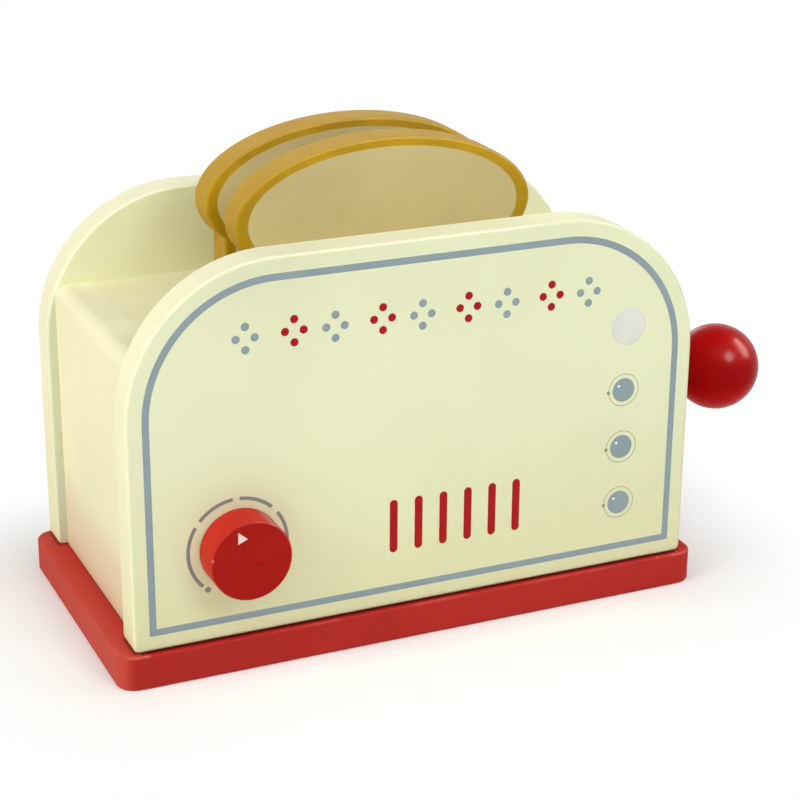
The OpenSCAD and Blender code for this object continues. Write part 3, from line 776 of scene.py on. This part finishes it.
class TOASTER_OT_paint_boards(Operator):
    """Paint the panels, end boards and top board cream and the base board red"""

    bl_idname = "toaster.paint_boards"
    bl_label = "Paint boards"

    def execute(self, context):
        colours = context.scene.toaster_paint
        panel, board = colours.cream_panel, colours.cream_board
        # The back panel's cream is a blend of the two, made lighter: painted light on its shaded
        # faces
        between = tinted(blend(panel, board, 0.5), 1.05, 1.07, 1.04)
        # Towards the foot the paint is tinted with painted shade and bounce light from the red base:
        # yellower on the panels and pinker on the end boards
        yellow_foot_shade, pink_foot_shade = ((0.92, 0.88, 0.79), -10, 70), ((0.87, 0.76, 0.76), 14, 34)
        # The panels' rims are painted lighter than their faces, and lighter still at the right:
        # painted light
        pale = tinted(board, 1.0, 1.03, 1.05)
        paler = tinted(pale, 1.11, 1.14, 1.09)
        dull = tinted(board, 0.95, 0.95, 0.91)
        # Each board's colour, its rims' two colours (painted light on the panels), its foot tint
        # (painted shade), its edge axis, and how far its clouds of tone are shifted
        boards = {
            "front_panel": (panel, (pale, paler), yellow_foot_shade, 1, 0.0),
            "back_panel": (between, (pale, paler), yellow_foot_shade, 1, 3.1),
            "left_end_board": (board, (board, board), pink_foot_shade, 2, 5.3),
            "right_end_board": (board, (board, board), pink_foot_shade, 2, 7.7),
            "top_board": (dull, (dull, dull), yellow_foot_shade, 0, 9.2),
        }
        for node, (colour, rims, foot, axis, shift) in boards.items():
            name = node + "_cream_paint"
            cream = cream_finish(name, colour, rims, foot, colours.rubbed_cream, axis, shift)
            paint_cad(node, cream)
        paint_cad("base_board", red_board_finish(colours.red_board, colours.rubbed_and_lit_red))
        return {"FINISHED"}


class TOASTER_OT_print_frame_line(Operator):
    """Print the line that follows the front panel's outline"""

    bl_idname = "toaster.print_frame_line"
    bl_label = "Print frame line"

    def execute(self, context):
        prints = context.scene.toaster_prints
        mesh = bmesh.new()
        outer, inner = frame_outline(prints, 0), frame_outline(prints, prints.line_width)
        add_ribbon(mesh, outer, inner, *ink_depths(context))
        ink = ink_finish("frame_line_ink", context.scene.toaster_paint.print_blue)
        finish_mesh("frame_line", mesh, ink)
        return {"FINISHED"}


class TOASTER_OT_print_dots(Operator):
    """Print the row of four-dot groups, in blue and red by turns"""

    bl_idname = "toaster.print_dots"
    bl_label = "Print dots"

    def execute(self, context):
        prints, colours = context.scene.toaster_prints, context.scene.toaster_paint
        side, up = prints.dot_side, prints.dot_up
        for name, (count, place, ink) in DOT_ROWS.items():
            first, z = on_panel(*place)
            mesh = bmesh.new()
            for i in range(count):
                x = first + i * prints.dot_pitch
                for dx, dz in ((-side, 0), (side, 0), (0, -up), (0, up)):
                    dot = circle(x + dx, z + dz, prints.dot / 2, 32)
                    add_plate(mesh, dot, *ink_depths(context))
            finish_mesh(name, mesh, ink_finish(name + "_ink", getattr(colours, ink)))
        return {"FINISHED"}


class TOASTER_OT_print_bars(Operator):
    """Print the upright red bars with round ends"""

    bl_idname = "toaster.print_bars"
    bl_label = "Print bars"

    def execute(self, context):
        prints = context.scene.toaster_prints
        mesh = bmesh.new()
        radius = prints.bar_width / 2
        first, foot = on_panel(FIRST_BAR, BAR_FOOT)
        top = on_panel(FIRST_BAR, BAR_TOP)[1]
        for i in range(prints.bars):
            x = first + i * prints.bar_pitch
            outline = arc(x, foot + radius, radius, 180, 360, 16)
            outline += arc(x, top - radius, radius, 0, 180, 16)
            add_plate(mesh, outline, *ink_depths(context))
        ink = ink_finish("vent_bars_ink", context.scene.toaster_paint.print_red)
        finish_mesh("vent_bars", mesh, ink)
        return {"FINISHED"}


class TOASTER_OT_print_buttons(Operator):
    """Print the three round buttons: a disc with a glint, a thin ring and a small dot"""

    bl_idname = "toaster.print_buttons"
    bl_label = "Print buttons"

    def execute(self, context):
        prints, colours = context.scene.toaster_prints, context.scene.toaster_paint
        front, back = ink_depths(context)
        discs, rings, glints = bmesh.new(), bmesh.new(), bmesh.new()
        for place in BUTTONS:
            x, z = on_panel(*place)
            add_plate(discs, circle(x, z, prints.disc / 2), front, back)
            outer = circle(x, z, prints.ring / 2, 72)
            inner = circle(x, z, prints.ring / 2 - prints.ring_line, 72)
            add_ribbon(rings, outer, inner, front, back)
            # A small dot sits on the ring's left, and a glint on the disc, up at the left
            dot = circle(x - 5.8 * MM, z - 0.4 * MM, 0.65 * MM, 20)
            add_plate(rings, dot, front - 0.2 * prints.ink, back)
            glint = circle(x - 1.9 * MM, z + 1.6 * MM, 0.5 * MM, 20)
            add_plate(glints, glint, front - prints.ink, front)
        for name, mesh, colour in (
            ("button_disc", discs, colours.print_blue),
            ("button_ring", rings, colours.print_olive),
            ("button_glint", glints, colours.print_white),
        ):
            finish_mesh(name + "s", mesh, ink_finish(name + "_ink", colour))
        return {"FINISHED"}


class TOASTER_OT_print_dial_scale(Operator):
    """Print the arcs and end dots of the scale round the dial"""

    bl_idname = "toaster.print_dial_scale"
    bl_label = "Print dial scale"

    def execute(self, context):
        prints = context.scene.toaster_prints
        mesh = bmesh.new()
        half = prints.scale_line / 2
        middle = DIAL_X - prints.scale_shift
        for start, end in SCALE_ARCS:
            # One step for each 2.5 degrees
            steps = max(8, round((end - start) / 2.5))
            outer = arc(middle, DIAL_Z, prints.scale_radius + half, start, end, steps)
            inner = arc(middle, DIAL_Z, prints.scale_radius - half, start, end, steps)
            add_ribbon(mesh, outer, inner, *ink_depths(context), closed=False)
        for angle in SCALE_DOTS:
            place = around(middle, DIAL_Z, prints.scale_radius, angle)
            add_plate(mesh, circle(*place, 1 * MM, 28), *ink_depths(context))
        ink = ink_finish("dial_scale_ink", context.scene.toaster_paint.print_grey)
        finish_mesh("dial_scale", mesh, ink)
        return {"FINISHED"}


class TOASTER_OT_add_sticker(Operator):
    """Add the blank round sticker with its soft rim"""

    bl_idname = "toaster.add_sticker"
    bl_label = "Add sticker"

    def execute(self, context):
        prints = context.scene.toaster_prints
        radius, film = prints.sticker / 2, prints.sticker_film
        face = PANEL_LOW.y
        # Share of the radius, and how many films' thickness it stands before the panel
        profile = ((0.985, 1), (0.997, 0.7), (1, 0.2), (1, -1))
        middle = on_panel(*STICKER_PLACE)
        mesh = bmesh.new()
        add_skin(mesh, [
            [(x, face - rise * film, z) for x, z in circle(*middle, share * radius, 72)]
            for share, rise in profile
        ])
        material = sticker_finish(context.scene.toaster_paint.sticker)
        finish_mesh("panel_sticker", mesh, material)
        return {"FINISHED"}


class TOASTER_OT_paint_dial_and_ball(Operator):
    """Paint the dial satin red with its pointer, and the lever ball gloss red"""

    bl_idname = "toaster.paint_dial_and_ball"
    bl_label = "Paint dial and ball"

    def execute(self, context):
        colours = context.scene.toaster_paint
        paint_cad("dial_knob", dial_finish(colours.red_dial, colours.lit_dial_side, colours.pointer))
        paint_cad("lever_ball", ball_finish(colours.red_ball))
        return {"FINISHED"}


class TOASTER_OT_paint_toast(Operator):
    """Paint both slices: crumb, border and crust"""

    bl_idname = "toaster.paint_toast"
    bl_label = "Paint toast"

    def execute(self, context):
        for node, shift in (("toast_front", 0.4), ("toast_back", 2.9)):
            paint_cad(node, toast_finish(node + "_paint", shift))
        return {"FINISHED"}


class TOASTER_OT_finish_bare_parts(Operator):
    """Give the bare wood its grain and the screws and washer their plating"""

    bl_idname = "toaster.finish_bare_parts"
    bl_label = "Finish bare parts"

    def execute(self, context):
        grain_along_x = wood_finish("beech_along_x", 0, 0.3)
        grain_along_y = wood_finish("beech_along_y", 1, 1.1)
        grain_along_z = wood_finish("beech_along_z", 2, 2.3)
        for node in ("lift_bar", "lever_rod", "top_board_dowels"):
            paint_cad(node, grain_along_x)
        for node in ("front_panel_dowels", "back_panel_dowels"):
            paint_cad(node, grain_along_y)
        for node in ("guide_post_left", "guide_post_right"):
            paint_cad(node, grain_along_z)
        plated = steel_finish("zinc_plate")
        for node in ("base_screws", "rod_screw", "dial_axle_screw", "dial_washer"):
            paint_cad(node, plated)
        return {"FINISHED"}


class TOASTER_OT_wind_springs(Operator):
    """Wind the two return springs round their guide posts"""

    bl_idname = "toaster.wind_springs"
    bl_label = "Wind springs"

    def execute(self, context):
        wire = steel_finish("spring_wire")
        lift = next(j for j in frame["joints"] if j["name"] == "lever_slide")
        for side in ("left", "right"):
            low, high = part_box("return_spring_" + side)
            mesh = bmesh.new()
            add_skin(mesh, spring_rings(low, high))
            piece = finish_mesh("spring_" + side, mesh, wire, "root", True)
            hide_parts("return_spring_" + side)
            keep = 1 - abs(lift["range_m"][0]) / (high.z - low.z)
            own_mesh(piece)
        return {"FINISHED"}


class TOASTER_OT_set_stage(Operator):
    """Lay the pale floor, hang the lamps and place the camera"""

    bl_idname = "toaster.set_stage"
    bl_label = "Set stage"

    def execute(self, context):
        scene = context.scene
        self.lay_floor(scene)
        self.light_sky(scene)
        studio = scene.toaster_studio
        warm, neutral, cool = (1.0, 0.955, 0.89), (1.0, 1.0, 0.985), (0.96, 1.0, 0.96)
        self.hang_lamp("key_softbox", (23, 36, 1.5), (0.38, 0.38), studio.key_power, cool)
        self.hang_lamp("side_strip", (66, 31, 1.5), (0.2, 0.6), studio.strip_power, neutral, 35)
        self.hang_lamp("left_softbox", (-78, 30, 1.7), (1.0, 1.0), studio.left_power, warm)
        self.hang_lamp("top_softbox", (-15, 58, 1.6), (1.3, 1.3), studio.top_power, neutral)
        self.hang_lamp("back_softbox", (168, 10, 1.8), (0.9, 0.9), studio.back_power, neutral)
        # These two light only gloss, and give the lever ball its glints
        for name, place, size, power, roll in (
            ("left_glint", (22, 39, 1.5), (0.65, 0.6), studio.left_glint, 20),
            ("right_glint", (79, 31, 1.5), (0.5, 0.95), studio.right_glint, 152),
        ):
            self.hang_lamp(name, place, size, power, warm, roll, gloss_only=True)
        self.place_camera(scene)
        scene.view_settings.view_transform = "Standard"
        return {"FINISHED"}

    def place_camera(self, scene):
        camera = bpy.data.cameras.new("photo_camera")
        camera.sensor_width = 36
        camera.lens = CAMERA_LENS
        camera.clip_start, camera.clip_end = 0.05, 50
        holder = bpy.data.objects.new("photo_camera", camera)
        holder.location = CAMERA_PLACE
        holder.rotation_euler = Euler([math.radians(angle) for angle in CAMERA_TURN])
        scene.collection.objects.link(holder)
        scene.camera = holder

    def lay_floor(self, scene):
        """Pale paper that shows shade near the base and fades to pure white away from it."""
        mesh = bmesh.new()
        bmesh.ops.create_circle(mesh, cap_ends=True, radius=4, segments=96)
        data = bpy.data.meshes.new("studio_floor")
        mesh.to_mesh(data)
        mesh.free()
        floor = bpy.data.objects.new("studio_floor", data)
        scene.collection.objects.link(floor)
        material = bpy.data.materials.new("studio_floor_paper")
        tree = NodeTree(material)
        place = tree.add("ShaderNodeTexCoord", output="Object")
        x, y, _ = tree.axes(place)
        # The fade starts at the sides of an oblong of these half sizes under the toaster
        half_width, half_depth, fade = 0.09, 0.04, 0.08
        away = tree.span(tree.most(abs(x) - half_width, 0), tree.most(abs(y) - half_depth, 0))
        camera_ray = tree.add("ShaderNodeLightPath", output="Is Camera Ray")
        paper = tree.nodes["Principled BSDF"]
        paper.inputs["Roughness"].default_value = 0.9
        paper.inputs["Specular IOR Level"].default_value = 0.1
        colour = scene.toaster_paint.floor
        grain = tree.add("ShaderNodeTexNoise", None, {"Vector": place, "Scale": 300, "Detail": 3})
        tone = tree.mix(0.3 * grain, colour, tinted(colour, 0.98))
        tree.feed(paper.inputs["Base Color"], tone)
        glow = tree.add("ShaderNodeEmission")
        share = camera_ray * tree.ramp(away, 0, fade)
        tree.join(share, Value(tree, paper.outputs[0]), glow, "Material Output")
        data.materials.append(material)

    def light_sky(self, scene):
        """White to rays from the camera and off or through gloss, and a weak even light to others."""
        world = bpy.data.worlds.new("studio_sky")
        scene.world = world
        tree = NodeTree(world)
        camera_ray = tree.add("ShaderNodeLightPath", output="Is Camera Ray")
        glossy_ray = camera_ray.other("Is Glossy Ray")
        clear_ray = camera_ray.other("Is Transmission Ray")
        shown = tree.most(tree.most(camera_ray, glossy_ray), clear_ray)
        lit, white = (
            tree.add("ShaderNodeBackground", None, {"Color": (1, 1, 1), "Strength": strength})
            for strength in (scene.toaster_studio.sky, 1)
        )
        tree.join(shown, lit, white, "World Output")

    def hang_lamp(self, name, place, size, power, colour, roll=0, gloss_only=False):
        """A flat softbox that looks at the toaster from an azimuth, elevation and distance.

        Azimuth 0 is in front of the toaster and 90 at its right.
        """
        lamp = bpy.data.lights.new(name, "AREA")
        lamp.shape = "RECTANGLE"
        lamp.size, lamp.size_y = size
        lamp.energy = power
        lamp.color = colour
        holder = bpy.data.objects.new(name, lamp)
        azimuth, elevation, distance = place
        a, e = math.radians(azimuth), math.radians(elevation)
        towards = Vector((math.sin(a) * math.cos(e), -math.cos(a) * math.cos(e), math.sin(e)))
        holder.location = LAMP_TARGET + distance * towards
        turn = towards.to_track_quat("Z", "Y") @ Euler((0, 0, math.radians(roll))).to_quaternion()
        holder.rotation_euler = turn.to_euler()
        holder.visible_diffuse = not gloss_only
        bpy.context.scene.collection.objects.link(holder)


class TOASTER_PT_sidebar(Panel):
    """Buttons for each step of the finish"""

    bl_idname = "TOASTER_PT_sidebar"
    bl_label = "Wooden play toaster"
    bl_space_type = "VIEW_3D"
    bl_region_type = "UI"
    bl_category = "Toaster"

    def draw(self, context):
        for step in STEPS:
            self.layout.operator(step.bl_idname)
        for group in SETTINGS:
            settings = getattr(context.scene, group)
            box = self.layout.box()
            for name in settings.__annotations__:
                box.prop(settings, name)


SETTINGS = {
    "toaster_paint": PaintColours,
    "toaster_prints": PrintSizes,
    "toaster_studio": StudioSettings,
}
STEPS = (
    TOASTER_OT_paint_boards,
    TOASTER_OT_print_frame_line,
    TOASTER_OT_print_dots,
    TOASTER_OT_print_bars,
    TOASTER_OT_print_buttons,
    TOASTER_OT_print_dial_scale,
    TOASTER_OT_add_sticker,
    TOASTER_OT_paint_dial_and_ball,
    TOASTER_OT_paint_toast,
    TOASTER_OT_finish_bare_parts,
    TOASTER_OT_wind_springs,
    TOASTER_OT_set_stage,
)


def register():
    for kind in (*SETTINGS.values(), *STEPS, TOASTER_PT_sidebar):
        bpy.utils.register_class(kind)
    for name, kind in SETTINGS.items():
        setattr(bpy.types.Scene, name, PointerProperty(type=kind))


def unregister():
    for name in SETTINGS:
        delattr(bpy.types.Scene, name)
    for kind in (TOASTER_PT_sidebar, *reversed(STEPS), *SETTINGS.values()):
        bpy.utils.unregister_class(kind)


def main():
    register()
    for step in STEPS:
        group, action = step.bl_idname.split(".")
        getattr(getattr(bpy.ops, group), action)()


if __name__ == "__main__":
    main()
